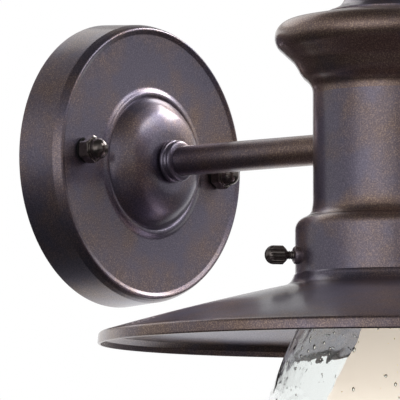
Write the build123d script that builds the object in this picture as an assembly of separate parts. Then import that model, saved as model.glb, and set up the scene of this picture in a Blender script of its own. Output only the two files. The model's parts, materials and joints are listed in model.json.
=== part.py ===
# Outdoor wall lantern: a round wall plate, a straight tube arm, a spun lantern body with a wide shallow
# shade, and a clear glass jar held in its collar by three thumbscrews round a frosted screw-base lamp.
# Millimetres. Origin at the centre of the plate on the wall, +Y into the wall, +Z up.
# The lantern hangs on an upright axis, a set reach out from the wall towards -Y.
import os
from math import cos, pi, radians, sin
from build123d import *

# Wall plate: a spun pan with a beaded edge, a flat face and a domed middle
plate_diameter = 127.0
plate_depth = 22.4
plate_sheet = 1.0
plate_side_taper = 1.4
plate_bead_radius = 0.9
plate_bead_inset = 3.0
plate_bead_drop = 3.8
plate_bead_rise = 0.7
dome_ring_diameter = 67.0
dome_crest_diameter = 62.6
dome_crest_rise = 1.2
dome_valley_diameter = 59.4
dome_valley_rise = 1.1
dome_flank_diameter = 50.4
dome_flank_rise = 6.0
dome_flank_tilt = 45.0
dome_shoulder_diameter = 42.0
dome_shoulder_rise = 8.9
dome_shoulder_tilt = 31.0
dome_brow_diameter = 30.0
dome_brow_rise = 10.9
dome_brow_tilt = 12.0
dome_height = 11.4
dome_nose_diameter = 19.0
gasket_width = 5.0
gasket_thickness = 4.0

# Crossed mounting bars behind the plate, and the studs that hold the plate
bar_length = 104.0
bar_width = 16.0
bar_thickness = 2.0
box_slot_spacing = 69.85
box_slot_length = 20.0
box_slot_width = 4.8
stud_spacing = 88.9
stud_diameter = 4.1
stud_pitch = 0.794
stud_turn = 3.5
stud_nut_flats = 8.7
stud_nut_height = 3.2
pivot_diameter = 8.0
pivot_flange_diameter = 13.0
pivot_flange_thickness = 1.0
pivot_bore = 5.0
ground_screw_offset = 19.0
ground_screw_diameter = 3.4
ground_head_diameter = 7.4
ground_head_height = 2.2
ground_wire_diameter = 1.6

# Cap nuts on the face of the plate
cap_nut_flats = 10.6
cap_nut_hex_height = 5.2
cap_nut_dome_diameter = 9.4
cap_nut_height = 11.2
cap_nut_bore_depth = 8.4
cap_nut_washer_diameter = 11.2
cap_nut_washer_thickness = 0.8

# Arm: a threaded pipe inside a plain cover tube, with a beaded ferrule at the plate
arm_diameter = 13.3
arm_bore = 10.7
pipe_diameter = 10.2
pipe_bore = 6.8
ferrule_diameter = 19.1
ferrule_length = 6.4
ferrule_flange = 1.6
ferrule_groove = 1.0
ferrule_step = 0.4
ferrule_back_share = 0.52
pipe_washer_diameter = 18.0
pipe_washer_thickness = 1.0
pipe_nut_flats = 16.0
pipe_nut_height = 5.0
saddle_diameter = 18.0
saddle_length = 5.0

# Lantern body on its upright axis; heights are from the arm's centre line
reach = 160.0
body_diameter = 72.0
body_top = 20.5
body_foot = -31.4
body_foot_diameter = 76.4
body_cove_height = 5.4
body_sheet = 1.0
spigot_length = 4.0

# Flared crown over the body, its stepped cap and the finial
crown_rim_diameter = 104.2
crown_rim_height = 44.9
crown_rim_radius = 7.2
crown_rim_under_angle = -50.0
crown_rim_over_angle = 78.0
crown_sheet = 1.0
crown_cove_diameter = 79.0
crown_cove_height = 27.3
crown_waist_diameter = 84.8
crown_waist_height = 32.2
cap_diameter = 60.0
cap_seat_height = 55.0
cap_lip_height = 0.8
cap_foot_width = 3.0
cap_cone_height = 3.1
cap_bead_diameter = 48.8
cap_bead_height = 3.1
cap_bead_run = 2.4
cap_neck_step = 1.0
cap_crest_diameter = 20.0
cap_crest_height = 74.0
cap_sheet = 1.0
finial_washer_diameter = 17.0
finial_washer_thickness = 0.8
finial_diameter = 18.0
finial_foot_diameter = 15.0
finial_height = 24.0
finial_foot_height = 2.4
finial_foot_bulge = 0.6
finial_neck_diameter = 14.2
finial_neck_height = 2.4
finial_ball_foot_angle = -50.0
finial_bore_depth = 12.0
rod_pitch = 0.941

# Collar that holds the glass, and the shade under it
collar_diameter = 87.2
collar_sheet = 1.2
collar_shoulder = 5.6
collar_foot = -55.5
collar_opening = 50.0
shade_diameter = 254.0
shade_sheet = 1.0
shade_sleeve_length = 3.0
shade_fillet_drop = 5.4
shade_fillet_run = 6.2
shade_drop = 24.4
shade_crown = 0.6
shade_lip_height = 5.4
shade_edge_radius = 2.6

# Thumbscrews round the collar
screw_count = 3
screw_first_angle = 144.0
screw_height = -48.3
screw_diameter = 3.6
screw_pitch = 0.794
screw_head_diameter = 8.0
screw_head_length = 9.2
screw_head_start = 5.4
screw_head_round = 1.6
screw_ridges = 18
screw_ridge_depth = 0.35
screw_ridge_lift = 0.14
screw_slot_width = 1.0
screw_slot_depth = 1.5
tip_diameter = 3.0
tip_length = 1.6
boss_diameter = 6.6
boss_height = 2.4
boss_land = 0.4

# Glass jar and its gasket
jar_lip_diameter = 82.5
jar_lip_height = 8.0
jar_neck_diameter = 77.6
jar_neck_foot = -70.0
jar_shoulder_diameter = 100.4
jar_shoulder_height = -94.8
jar_diameter = 120.0
jar_widest_height = -140.0
jar_base_diameter = 70.0
jar_base_height = -192.0
jar_wall = 3.0
jar_gasket_thickness = 2.0
jar_gasket_width = 4.5

# Upright threaded rod, socket strap and screw-shell lamp socket
rod_diameter = 10.2
strap_width = 16.0
strap_thickness = 2.0
strap_top = -16.0
strap_span = 46.0
strap_foot_length = 8.0
rod_nut_flats = 17.0
rod_nut_height = 5.0
socket_diameter = 38.0
socket_rim = -62.0
socket_floor = -39.5
socket_shell_thickness = 0.5
socket_shell_length = 17.5
socket_rod_depth = 8.0
socket_contact_length = 12.0
socket_contact_width = 5.0
socket_contact_thickness = 0.6
terminal_height = -28.0
terminal_diameter = 3.0
terminal_head_diameter = 6.6
terminal_head_height = 2.0
terminal_depth = 6.0

# Frosted lamp with a medium screw base
lamp_diameter = 60.0
lamp_length = 105.6
lamp_cap_diameter = 25.8
lamp_cap_length = 21.0
lamp_cap_sheet = 0.5
lamp_base_height = 5.6
lamp_contact_diameter = 9.6
lamp_contact_height = 1.2
lamp_contact_land = 1.0
lamp_neck_diameter = 26.4
lamp_throat_diameter = 31.8
lamp_throat_drop = 36.8
lamp_joint_angle = 30.0
lamp_glass = 0.9

# Insulated leads from the socket through the arm
lead_diameter = 2.4
lead_spread = 1.5
lead_tail = 12.0

# Clearances
fit_gap = 0.05
sheet_gap = 0.05
seat_gap = 0.3
hole_gap = 0.3
thread_relief = 1.5

# Radii and levels that follow from the sizes above
plate_radius = plate_diameter / 2
body_radius = body_diameter / 2
collar_radius = collar_diameter / 2
face_depth = plate_depth - plate_bead_rise
nose_depth = face_depth + dome_height
pipe_radius = pipe_diameter / 2
rod_radius = rod_diameter / 2
body_wall_depth = reach - body_radius
shade_foot = collar_foot - shade_drop - shade_lip_height
web_under = body_foot - collar_sheet
jar_top = web_under - jar_gasket_thickness
socket_top = strap_top - strap_thickness
lamp_top = socket_floor - socket_contact_thickness - seat_gap
lamp_crown = lamp_top - lamp_length
lamp_centre = lamp_crown + lamp_diameter / 2
lantern = Pos(0, -reach, 0)
screw_angles = [screw_first_angle + 360 * i / screw_count for i in range(screw_count)]


def joined(outer, inner):
    """Closed face between two open outlines drawn in the same direction."""
    ends = [Line(outer[0] @ 0, inner[0] @ 0), Line(outer[-1] @ 1, inner[-1] @ 1)]
    return make_face(outer + inner + ends)


def turned(face):
    """Solid of revolution round the lantern's axis, from a face of radius and height."""
    return lantern * revolve(Plane.XZ * face, Axis.Z)


def turned_on_wall(face):
    """Solid of revolution round the plate's axis, from a face of radius and minus depth."""
    return revolve(face, Axis.Y)


def polygon(*points):
    """Flat face through corner points."""
    return make_face(Polyline(*points, close=True).edges())


def wall_bar(radius, start, end):
    """Round bar along the plate's axis between two depths from the wall."""
    return Pos(0, -(start + end) / 2, 0) * Rot(90, 0, 0) * Cylinder(radius, end - start)


def wall_hex(flats, start, end):
    """Hexagonal prism along the plate's axis between two depths from the wall."""
    face = Plane((0, -start, 0), x_dir=(1, 0, 0), z_dir=(0, -1, 0)) * RegularPolygon(flats / 2, 6, False)
    return extrude(face, end - start, (0, -1, 0))


def upright_ring(outer, inner, low, high):
    """Flat ring or tube round the lantern's axis."""
    return turned(polygon((inner, low), (outer, low), (outer, high), (inner, high)))


def on_studs(solid):
    """Two copies of a solid, one on each stud."""
    half = stud_spacing / 2
    return [Rot(0, stud_turn, 0) * Pos(side * half, 0, 0) * solid for side in (-1, 1)]


def screw_plane(angle):
    """Plane on the lantern's axis at screw height, looking out along one thumbscrew."""
    out = (cos(radians(angle)), sin(radians(angle)), 0)
    return Plane((0, -reach, screw_height), x_dir=(-out[1], out[0], 0), z_dir=out)


def along_screw(angle, face):
    """Solid of revolution along a thumbscrew, from a face of radius and distance from the lantern axis."""
    return screw_plane(angle).location * revolve(Plane.XZ * face, Axis.Z)


# Wall plate
def dome_point(diameter, rise, tilt, inset):
    """Point on the dome, set back square to a surface that is tilted from the plate's face."""
    radius = diameter / 2 - inset * sin(radians(tilt))
    return (radius, inset * cos(radians(tilt)) - face_depth - rise)


def plate_outline(inset):
    rim = (plate_radius - inset, 0)
    bead_centre = plate_radius - plate_bead_inset - plate_bead_radius
    crest = inset - plate_depth
    face = inset - face_depth
    shoulder = (plate_radius - plate_side_taper - inset, crest + plate_bead_drop)
    groove = (bead_centre + plate_bead_radius, crest + plate_bead_radius)
    inner = (bead_centre - plate_bead_radius, face)
    ring = (dome_ring_diameter / 2, face)
    crest_ring = (dome_crest_diameter / 2, face - dome_crest_rise)
    valley = (dome_valley_diameter / 2, face - dome_valley_rise)
    flank = dome_point(dome_flank_diameter, dome_flank_rise, dome_flank_tilt, inset)
    dome_shoulder = dome_point(dome_shoulder_diameter, dome_shoulder_rise, dome_shoulder_tilt, inset)
    brow = dome_point(dome_brow_diameter, dome_brow_rise, dome_brow_tilt, inset)
    nose = (dome_nose_diameter / 2, face - dome_height)
    hole = (pipe_radius + hole_gap, nose[1])
    return [
        Line(rim, shoulder),
        Line(shoulder, groove),
        ThreePointArc(groove, (bead_centre, crest), inner),
        Line(inner, ring),
        Spline(ring, crest_ring, valley, tangents=((-1, -0.25), (-1, 0))),
        Spline(valley, flank, dome_shoulder, brow, nose, tangents=((-1, 0), (-1, 0))),
        Line(nose, hole),
    ]


def make_back_plate():
    plate = turned_on_wall(joined(plate_outline(0), plate_outline(plate_sheet)))
    for hole in on_studs(wall_bar(stud_diameter / 2 + hole_gap, 0, plate_depth + dome_height)):
        plate -= hole
    return plate


def make_wall_gasket():
    lean = plate_side_taper * gasket_thickness / (plate_depth - plate_bead_drop)
    outer = plate_radius - lean - plate_sheet - seat_gap
    ring = wall_bar(outer, 0, gasket_thickness)
    return ring - wall_bar(outer - gasket_width, 0, gasket_thickness)


# Mounting bars
def make_bar(start):
    bar = SlotOverall(bar_length, bar_width)
    face = Plane((0, -start, 0), x_dir=(1, 0, 0), z_dir=(0, -1, 0)) * bar
    return extrude(face, bar_thickness, (0, -1, 0))


def make_box_bar():
    bar = make_bar(0) - wall_bar(pivot_diameter / 2 + fit_gap, 0, bar_thickness)
    slot = SlotOverall(box_slot_length, box_slot_width)
    for side in (-1, 1):
        face = Plane((side * box_slot_spacing / 2, 0, 0), x_dir=(1, 0, 0), z_dir=(0, -1, 0)) * slot
        bar -= extrude(face, bar_thickness, (0, -1, 0))
    return Rot(0, 90, 0) * bar


def make_fixture_bar():
    bar = make_bar(bar_thickness)
    span = (bar_thickness, 2 * bar_thickness)
    bar -= wall_bar(pivot_diameter / 2 + fit_gap, *span)
    bar -= Pos(ground_screw_offset, 0, 0) * wall_bar(ground_screw_diameter / 2 + fit_gap, *span)
    bar = Rot(0, stud_turn, 0) * bar
    for hole in on_studs(wall_bar(stud_diameter / 2 + fit_gap, *span)):
        bar -= hole
    return bar


def make_bar_pivot():
    rivet = wall_bar(pivot_diameter / 2, 0, 2 * bar_thickness)
    rivet += wall_bar(pivot_flange_diameter / 2, 2 * bar_thickness, 2 * bar_thickness + pivot_flange_thickness)
    return rivet - wall_bar(pivot_bore / 2, 0, 2 * bar_thickness + pivot_flange_thickness)


def make_ground_screw():
    head = 2 * bar_thickness
    screw = wall_bar(ground_screw_diameter / 2, bar_thickness, head)
    washer = head + ground_wire_diameter + 2 * sheet_gap
    screw += wall_bar(ground_screw_diameter / 2, head, washer)
    screw += wall_bar(ground_head_diameter / 2, washer, washer + ground_head_height)
    return Rot(0, stud_turn, 0) * Pos(ground_screw_offset, 0, 0) * screw


def make_ground_lead():
    start_depth = 2 * bar_thickness + sheet_gap + ground_wire_diameter / 2
    side = (ground_screw_diameter + ground_wire_diameter) / 2 + sheet_gap
    lift = plate_depth - start_depth - 4 * ground_wire_diameter
    points = [
        (ground_screw_offset - ground_head_diameter / 2, -start_depth, side),
        (ground_screw_offset + ground_head_diameter, -start_depth, side),
        (ground_screw_offset + 2 * ground_head_diameter, -start_depth - lift / 2, side + ground_head_diameter),
        (ground_screw_offset + ground_head_diameter, -start_depth - lift, side + 3 * ground_head_diameter),
    ]
    path = FilletPolyline(*points, radius=3 * ground_wire_diameter)
    wire = sweep(Plane(path @ 0, z_dir=path % 0) * Circle(ground_wire_diameter / 2), path)
    return Rot(0, stud_turn, 0) * wire


def make_mounting_studs():
    end = face_depth + cap_nut_washer_thickness + cap_nut_bore_depth - thread_relief * stud_pitch
    return Compound(on_studs(wall_bar(stud_diameter / 2, bar_thickness, end)))


def make_stud_nuts():
    seat = 2 * bar_thickness
    nut = wall_hex(stud_nut_flats, seat, seat + stud_nut_height)
    nut -= wall_bar(stud_diameter / 2 + fit_gap, seat, seat + stud_nut_height)
    return Compound(on_studs(nut))


# Cap nuts, each on a sealing washer
def make_cap_nut():
    seat = face_depth + cap_nut_washer_thickness
    bore = stud_diameter / 2 + fit_gap
    corner = cap_nut_flats / 2 / cos(pi / 6)
    dome = cap_nut_dome_diameter / 2
    top = seat + cap_nut_height
    shoulder = seat + cap_nut_hex_height
    chamfer = corner - cap_nut_flats / 2
    hexagon = wall_hex(cap_nut_flats, seat, shoulder)
    hexagon &= turned_on_wall(polygon(
        (0, -seat), (corner - chamfer, -seat), (corner, -seat - chamfer / 2), (corner, -shoulder + chamfer / 2),
        (corner - chamfer, -shoulder), (0, -shoulder)))
    side = top - dome
    outline = [
        Line((0, -shoulder), (dome, -shoulder)),
        Line((dome, -shoulder), (dome, -side)),
        ThreePointArc((dome, -side), (dome * cos(pi / 4), -side - dome * sin(pi / 4)), (0, -top)),
        Line((0, -top), (0, -shoulder)),
    ]
    nut = hexagon + turned_on_wall(make_face(outline))
    return nut - wall_bar(bore, seat, seat + cap_nut_bore_depth)


def make_cap_nut_washer():
    seat = face_depth + cap_nut_washer_thickness
    washer = wall_bar(cap_nut_washer_diameter / 2, face_depth, seat)
    return washer - wall_bar(stud_diameter / 2 + fit_gap, face_depth, seat)


# Arm
def make_arm_ferrule():
    back = nose_depth
    front = back + ferrule_length
    bead = ferrule_diameter / 2
    groove = bead - ferrule_groove
    lip = groove - ferrule_step
    middle = back + ferrule_length * ferrule_back_share
    bore = arm_diameter / 2 + fit_gap
    outline = [
        Line((pipe_radius + hole_gap, -back), (groove, -back)),
        ThreePointArc((groove, -back), (bead, -(back + middle) / 2), (groove, -middle)),
        ThreePointArc((groove, -middle), (bead - ferrule_step, -(middle + front) / 2), (lip, -front)),
        Line((lip, -front), (bore, -front)),
        Line((bore, -front), (bore, -back - ferrule_flange)),
        Line((bore, -back - ferrule_flange), (pipe_radius + hole_gap, -back - ferrule_flange)),
        Line((pipe_radius + hole_gap, -back - ferrule_flange), (pipe_radius + hole_gap, -back)),
    ]
    return turned_on_wall(make_face(outline))


def make_arm_tube():
    start = nose_depth + ferrule_flange
    tube = wall_bar(arm_diameter / 2, start, reach) - wall_bar(arm_bore / 2, start, reach)
    return tube - lantern * Cylinder(body_radius + sheet_gap, body_diameter)


def make_arm_pipe():
    start = nose_depth - plate_sheet - pipe_washer_thickness - pipe_nut_height - 2 * plate_sheet
    end = body_wall_depth + body_sheet + saddle_length + pipe_nut_height + plate_sheet
    return wall_bar(pipe_radius, start, end) - wall_bar(pipe_bore / 2, start, end)


def make_pipe_washer():
    seat = nose_depth - plate_sheet
    washer = wall_bar(pipe_washer_diameter / 2, seat - pipe_washer_thickness, seat)
    return washer - wall_bar(pipe_radius + fit_gap, seat - pipe_washer_thickness, seat)


def make_pipe_nuts():
    plate_seat = nose_depth - plate_sheet - pipe_washer_thickness
    body_seat = body_wall_depth + body_sheet + saddle_length
    nuts = []
    for start in (plate_seat - pipe_nut_height, body_seat):
        nut = wall_hex(pipe_nut_flats, start, start + pipe_nut_height)
        nuts.append(nut - wall_bar(pipe_radius + fit_gap, start, start + pipe_nut_height))
    return Compound(nuts)


def make_arm_saddle():
    end = body_wall_depth + body_sheet + saddle_length
    saddle = wall_bar(saddle_diameter / 2, body_wall_depth, end)
    saddle &= lantern * Cylinder(body_radius - body_sheet - sheet_gap, body_diameter)
    return saddle - wall_bar(pipe_radius + fit_gap, body_wall_depth, end)


# Body of the lantern
def body_outline(inset):
    wall = body_radius - inset
    foot = (body_foot_diameter / 2 - inset, body_foot)
    cove = (wall, body_foot + body_cove_height)
    return [Line((wall, body_top), cove), TangentArc(cove, foot, tangent=(0, -1))]


def make_body_shell():
    body = turned(joined(body_outline(0), body_outline(body_sheet)))
    return body - wall_bar(pipe_radius + hole_gap, body_wall_depth - body_sheet, reach)


# Crown: an ogee flare with a rolled rim and a shallow cone on top, on a spigot inside the body
def crown_outline(inset):
    neck = (body_radius - inset, body_top)
    cove = (crown_cove_diameter / 2 - inset, crown_cove_height + inset / 2)
    waist = (crown_waist_diameter / 2 - inset, crown_waist_height + inset / 2)
    rim_centre = crown_rim_diameter / 2 - crown_rim_radius
    rim = crown_rim_radius - inset
    low = radians(crown_rim_under_angle)
    high = radians(crown_rim_over_angle)
    under = (rim_centre + rim * cos(low), crown_rim_height + rim * sin(low))
    over = (rim_centre + rim * cos(high), crown_rim_height + rim * sin(high))
    top = (rod_radius + hole_gap, cap_seat_height - inset)
    land = (cap_diameter / 2 + crown_sheet, cap_seat_height - inset)
    return [
        Spline(neck, cove, waist, under, tangents=((0, 1), (-sin(low), cos(low)))),
        ThreePointArc(under, (rim_centre + rim, crown_rim_height), over),
        Line(over, land),
        Line(land, top),
    ]


def make_crown():
    crown = turned(joined(crown_outline(0), crown_outline(crown_sheet)))
    outer = body_radius - body_sheet - sheet_gap
    spigot = upright_ring(outer, outer - crown_sheet, body_top - spigot_length, body_top)
    seat = upright_ring(body_radius - crown_sheet / 2, outer - crown_sheet, body_top, body_top + crown_sheet)
    return crown + seat + spigot


def cap_outline(inset):
    lower = cap_diameter / 2
    bead = cap_bead_diameter / 2 - inset
    bead_foot = (bead, cap_seat_height + cap_cone_height - inset)
    bead_top = (bead - cap_bead_run, bead_foot[1] + cap_bead_height)
    neck = (bead_top[0] - cap_neck_step, bead_top[1])
    crest = (cap_crest_diameter / 2, cap_crest_height - inset)
    if inset == 0:
        lip = (lower, cap_seat_height + cap_lip_height)
        foot = [Line((lower, cap_seat_height), lip), Line(lip, bead_foot)]
    else:
        foot = [Line((lower - cap_foot_width, cap_seat_height), bead_foot)]
    return foot + [
        TangentArc(bead_foot, bead_top, tangent=(0, 1)),
        Line(bead_top, neck),
        Spline(neck, crest, tangents=((0, 1), (-1, 0))),
        Line(crest, (rod_radius + hole_gap, crest[1])),
    ]


def make_top_cap():
    return turned(joined(cap_outline(0), cap_outline(cap_sheet)))


def make_finial_washer():
    inner = rod_radius + fit_gap
    return upright_ring(finial_washer_diameter / 2, inner, cap_crest_height,
                        cap_crest_height + finial_washer_thickness)


def make_finial():
    foot = cap_crest_height + finial_washer_thickness
    ball = finial_diameter / 2
    ball_centre = foot + finial_height - ball
    flange = finial_foot_diameter / 2
    rim = foot + finial_foot_height
    waist = (finial_neck_diameter / 2, rim + finial_neck_height)
    angle = radians(finial_ball_foot_angle)
    ball_low = (ball * cos(angle), ball_centre + ball * sin(angle))
    outline = [
        Line((0, foot), (flange, foot)),
        ThreePointArc((flange, foot), (flange + finial_foot_bulge, (foot + rim) / 2), (flange, rim)),
        Line((flange, rim), waist),
        Line(waist, ball_low),
        ThreePointArc(ball_low, (ball, ball_centre), (0, foot + finial_height)),
        Line((0, foot + finial_height), (0, foot)),
    ]
    finial = turned(make_face(outline))
    return finial - lantern * Pos(0, 0, foot + finial_bore_depth / 2) * Cylinder(
        rod_radius + fit_gap, finial_bore_depth)


# Collar: a cup with a round shoulder, open underneath, with a web that carries the strap
def collar_outline(inset):
    wall = collar_radius - inset
    web = body_foot - inset
    shoulder = (collar_radius - collar_shoulder, web)
    bend = (wall, body_foot - collar_shoulder)
    return [
        Line((collar_opening / 2, web), shoulder),
        TangentArc(shoulder, bend, tangent=(1, 0)),
        Line(bend, (wall, collar_foot)),
    ]


def make_fitter_collar():
    collar = turned(joined(collar_outline(0), collar_outline(collar_sheet)))
    for angle in screw_angles:
        hole = polygon((0, 0), (screw_diameter / 2 + hole_gap, 0),
                       (screw_diameter / 2 + hole_gap, collar_diameter), (0, collar_diameter))
        collar -= along_screw(angle, hole)
    return collar


# Shade: a sleeve inside the collar, a fillet, a shallow cone and a turned-down lip
def shade_outline(inset):
    neck = (collar_radius - inset, collar_foot)
    fillet = (collar_radius + shade_fillet_run, collar_foot - shade_fillet_drop - inset)
    edge = (shade_diameter / 2 - shade_edge_radius - inset, collar_foot - shade_drop - inset)
    middle = ((fillet[0] + edge[0]) / 2, (fillet[1] + edge[1]) / 2 + shade_crown)
    lip = (shade_diameter / 2 - inset, edge[1] - shade_edge_radius)
    return [
        TangentArc(neck, fillet, tangent=(0, -1)),
        ThreePointArc(fillet, middle, edge),
        Line(edge, lip),
        Line(lip, (lip[0], shade_foot)),
    ]


def make_shade():
    shade = turned(joined(shade_outline(0), shade_outline(shade_sheet)))
    outer = collar_radius - collar_sheet - sheet_gap
    inner = outer - shade_sheet
    sleeve = upright_ring(outer, inner, collar_foot, collar_foot + shade_sleeve_length)
    seat = upright_ring(collar_radius - shade_sheet / 2, inner, collar_foot - shade_sheet, collar_foot)
    return shade + seat + sleeve


# Thumbscrews, each in a domed boss on the collar, with a soft tip against the glass
def screw_tip_start():
    return jar_neck_diameter / 2 + seat_gap


def make_screw_tip(angle):
    start = screw_tip_start()
    radius = tip_diameter / 2
    return along_screw(angle, polygon((0, start), (radius, start), (radius, start + tip_length),
                                      (0, start + tip_length)))


def make_thumbscrew(angle):
    start = screw_tip_start() + tip_length
    shank = screw_diameter / 2
    head = screw_head_diameter / 2
    low = collar_radius + screw_head_start
    high = low + screw_head_length
    outline = [
        Line((0, start), (shank, start)),
        Line((shank, start), (shank, low)),
        Line((shank, low), (head - screw_head_round, low)),
        Line((head - screw_head_round, low), (head, low + screw_head_round)),
        Line((head, low + screw_head_round), (head, high - screw_head_round)),
        TangentArc((0, high), (head, high - screw_head_round), tangent=(1, 0)),
        Line((0, high), (0, start)),
    ]
    screw = revolve(Plane.XZ * make_face(outline), Axis.Z)
    ridge = 360 / screw_ridges
    groove = Rot(0, 0, 45) * Box(2 * screw_ridge_depth, 2 * screw_ridge_depth, 2 * screw_head_length)
    for i in range(screw_ridges):
        screw -= Rot(0, 0, i * ridge) * Pos(head + screw_ridge_lift, 0, low + screw_head_length / 2) * groove
    screw -= Pos(0, 0, high - screw_slot_depth / 2) * Box(2 * screw_head_diameter, screw_slot_width,
                                                         screw_slot_depth)
    return screw_plane(angle).location * screw


def make_boss(angle):
    low = collar_radius - collar_sheet
    high = collar_radius + boss_height
    bore = screw_diameter / 2 + fit_gap
    radius = boss_diameter / 2
    outline = [
        Line((bore, low), (radius, low)),
        Line((radius, low), (radius, high - boss_height / 2)),
        TangentArc((radius, high - boss_height / 2), (bore + boss_land, high), tangent=(0, 1)),
        Line((bore + boss_land, high), (bore, high)),
        Line((bore, high), (bore, low)),
    ]
    boss = along_screw(angle, make_face(outline))
    return boss - lantern * Pos(0, 0, screw_height) * Cylinder(collar_radius + sheet_gap, collar_diameter)


# Glass jar as a lipped neck, a shoulder, a rounded base and a flat foot, and its gasket under the collar's web
def make_jar_neck():
    lip = jar_lip_diameter / 2
    neck = jar_neck_diameter / 2
    lip_foot = jar_top - jar_lip_height
    bore = neck - jar_wall
    return turned(polygon((lip, jar_top), (lip, lip_foot), (neck, lip_foot - (lip - neck)), (neck, jar_neck_foot),
                          (bore, jar_neck_foot), (bore, jar_top)))


def jar_shoulder_outline(inset):
    neck = (jar_neck_diameter / 2 - inset, jar_neck_foot)
    shoulder = (jar_shoulder_diameter / 2 - inset, jar_shoulder_height)
    widest = (jar_diameter / 2 - inset, jar_widest_height)
    return [Spline(neck, shoulder, widest, tangents=((0, -1), (0, -1)))]


def make_jar_shoulder():
    return turned(joined(jar_shoulder_outline(0), jar_shoulder_outline(jar_wall)))


def jar_base_outline(inset):
    widest = (jar_diameter / 2 - inset, jar_widest_height)
    base = (jar_base_diameter / 2 - inset, jar_base_height + inset)
    return [Spline(widest, base, tangents=((0, -1), (-1, 0))), Line(base, (0, base[1]))]


def make_jar_foot():
    return lantern * Pos(0, 0, jar_base_height + jar_wall / 2) * Cylinder(jar_base_diameter / 2 - jar_wall, jar_wall)


def make_jar_base():
    return turned(joined(jar_base_outline(0), jar_base_outline(jar_wall))) - make_jar_foot()


def make_jar_gasket():
    outer = collar_radius - collar_shoulder - sheet_gap
    return upright_ring(outer, outer - jar_gasket_width, jar_top, web_under)


# Rod, strap and socket
def make_centre_rod():
    low = socket_top - socket_rod_depth + seat_gap
    high = cap_crest_height + finial_washer_thickness + finial_bore_depth - thread_relief * rod_pitch
    return lantern * Pos(0, 0, (low + high) / 2) * Cylinder(rod_radius, high - low)


def make_rod_nut():
    nut = extrude(RegularPolygon(rod_nut_flats / 2, 6, False), rod_nut_height)
    nut -= Pos(0, 0, rod_nut_height / 2) * Cylinder(rod_radius + fit_gap, rod_nut_height)
    return lantern * Pos(0, 0, strap_top) * nut


def make_socket_strap():
    half = strap_span / 2
    foot = web_under - strap_thickness
    side = [(half + strap_foot_length, web_under), (half, web_under), (half, strap_top)]
    inner = [(half - strap_thickness, socket_top), (half - strap_thickness, foot), (half + strap_foot_length, foot)]
    outer_left = [(-x, z) for x, z in reversed(side)]
    inner_left = [(-x, z) for x, z in reversed(inner)]
    face = Plane.XZ * polygon(*side, *outer_left, *inner_left, *inner)
    strap = extrude(face, strap_width / 2, (0, 1, 0), both=True)
    return lantern * (strap - Pos(0, 0, strap_top) * Cylinder(rod_radius + fit_gap, strap_width))


def make_socket_body():
    shell = lamp_cap_diameter / 2 + seat_gap + socket_shell_thickness + fit_gap
    socket = upright_ring(socket_diameter / 2, 0, socket_rim, socket_top)
    socket -= lantern * Pos(0, 0, (socket_rim + socket_floor) / 2) * Cylinder(shell, socket_floor - socket_rim)
    socket -= lantern * Pos(0, 0, socket_top - socket_rod_depth / 2) * Cylinder(
        rod_radius + fit_gap, socket_rod_depth)
    for side in (-1, 1):
        socket -= terminal_place(side) * Cylinder(terminal_diameter / 2 + fit_gap, 2 * terminal_depth)
    return socket


def make_socket_shell():
    inner = lamp_cap_diameter / 2 + seat_gap
    low = socket_rim + socket_shell_thickness * 4
    return upright_ring(inner + socket_shell_thickness, inner, low, low + socket_shell_length)


def make_socket_contact():
    tongue = Box(socket_contact_length, socket_contact_width, socket_contact_thickness)
    return lantern * Pos(0, 0, socket_floor - socket_contact_thickness / 2) * tongue


def terminal_place(side):
    """Place on the socket's side wall, with local Z pointing out of it."""
    return lantern * Pos(0, side * socket_diameter / 2, terminal_height) * Rot(-90 * side, 0, 0)


def make_terminal_screws():
    screws = []
    for side in (-1, 1):
        head = 2 * sheet_gap + lead_diameter
        screw = Pos(0, 0, (head - terminal_depth) / 2) * Cylinder(terminal_diameter / 2, head + terminal_depth)
        screw += Pos(0, 0, head + terminal_head_height / 2) * Cylinder(
            terminal_head_diameter / 2, terminal_head_height)
        screws.append(terminal_place(side) * screw)
    return Compound(screws)


# Lamp: a screw cap with its glass, and the insulated contact at its tip
def lamp_outline(inset):
    radius = lamp_diameter / 2 - inset
    neck = lamp_neck_diameter / 2 - inset
    top = lamp_top - lamp_base_height - lamp_cap_length + lamp_cap_sheet
    throat = (lamp_throat_diameter / 2 - inset, lamp_centre + lamp_throat_drop)
    angle = radians(lamp_joint_angle)
    joint = (radius * cos(angle), lamp_centre + radius * sin(angle))
    return [
        Spline((neck, top), throat, joint, tangents=((0, -1), (sin(angle), -cos(angle)))),
        ThreePointArc(joint, (radius * cos(angle), lamp_centre - radius * sin(angle)), (0, lamp_centre - radius)),
    ]


def make_lamp_glass():
    return turned(joined(lamp_outline(0), lamp_outline(lamp_glass)))


def make_lamp_cap():
    outer = lamp_cap_diameter / 2
    inner = lamp_contact_diameter / 2 + 2 * fit_gap
    top = lamp_top - lamp_contact_height
    shoulder = lamp_top - lamp_base_height
    foot = shoulder - lamp_cap_length
    neck = lamp_neck_diameter / 2 - lamp_glass - sheet_gap
    return turned(polygon(
        (inner, top), (lamp_contact_diameter / 2 + lamp_contact_land, top), (outer, shoulder), (outer, foot + lamp_cap_sheet),
        (neck, foot + lamp_cap_sheet), (neck, foot), (neck - lamp_cap_sheet, foot),
        (neck - lamp_cap_sheet, foot + 2 * lamp_cap_sheet), (outer - lamp_cap_sheet, foot + 2 * lamp_cap_sheet),
        (outer - lamp_cap_sheet, shoulder - lamp_cap_sheet), (inner, top - 2 * lamp_cap_sheet)))


def make_lamp_contact():
    radius = lamp_contact_diameter / 2
    low = lamp_top - lamp_contact_height - 2 * lamp_cap_sheet
    outline = [
        Line((0, low), (radius, low)),
        Line((radius, low), (radius, lamp_top - lamp_contact_height)),
        TangentArc((0, lamp_top), (radius, lamp_top - lamp_contact_height), tangent=(1, 0)),
        Line((0, lamp_top), (0, low)),
    ]
    return turned(make_face(outline))


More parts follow.
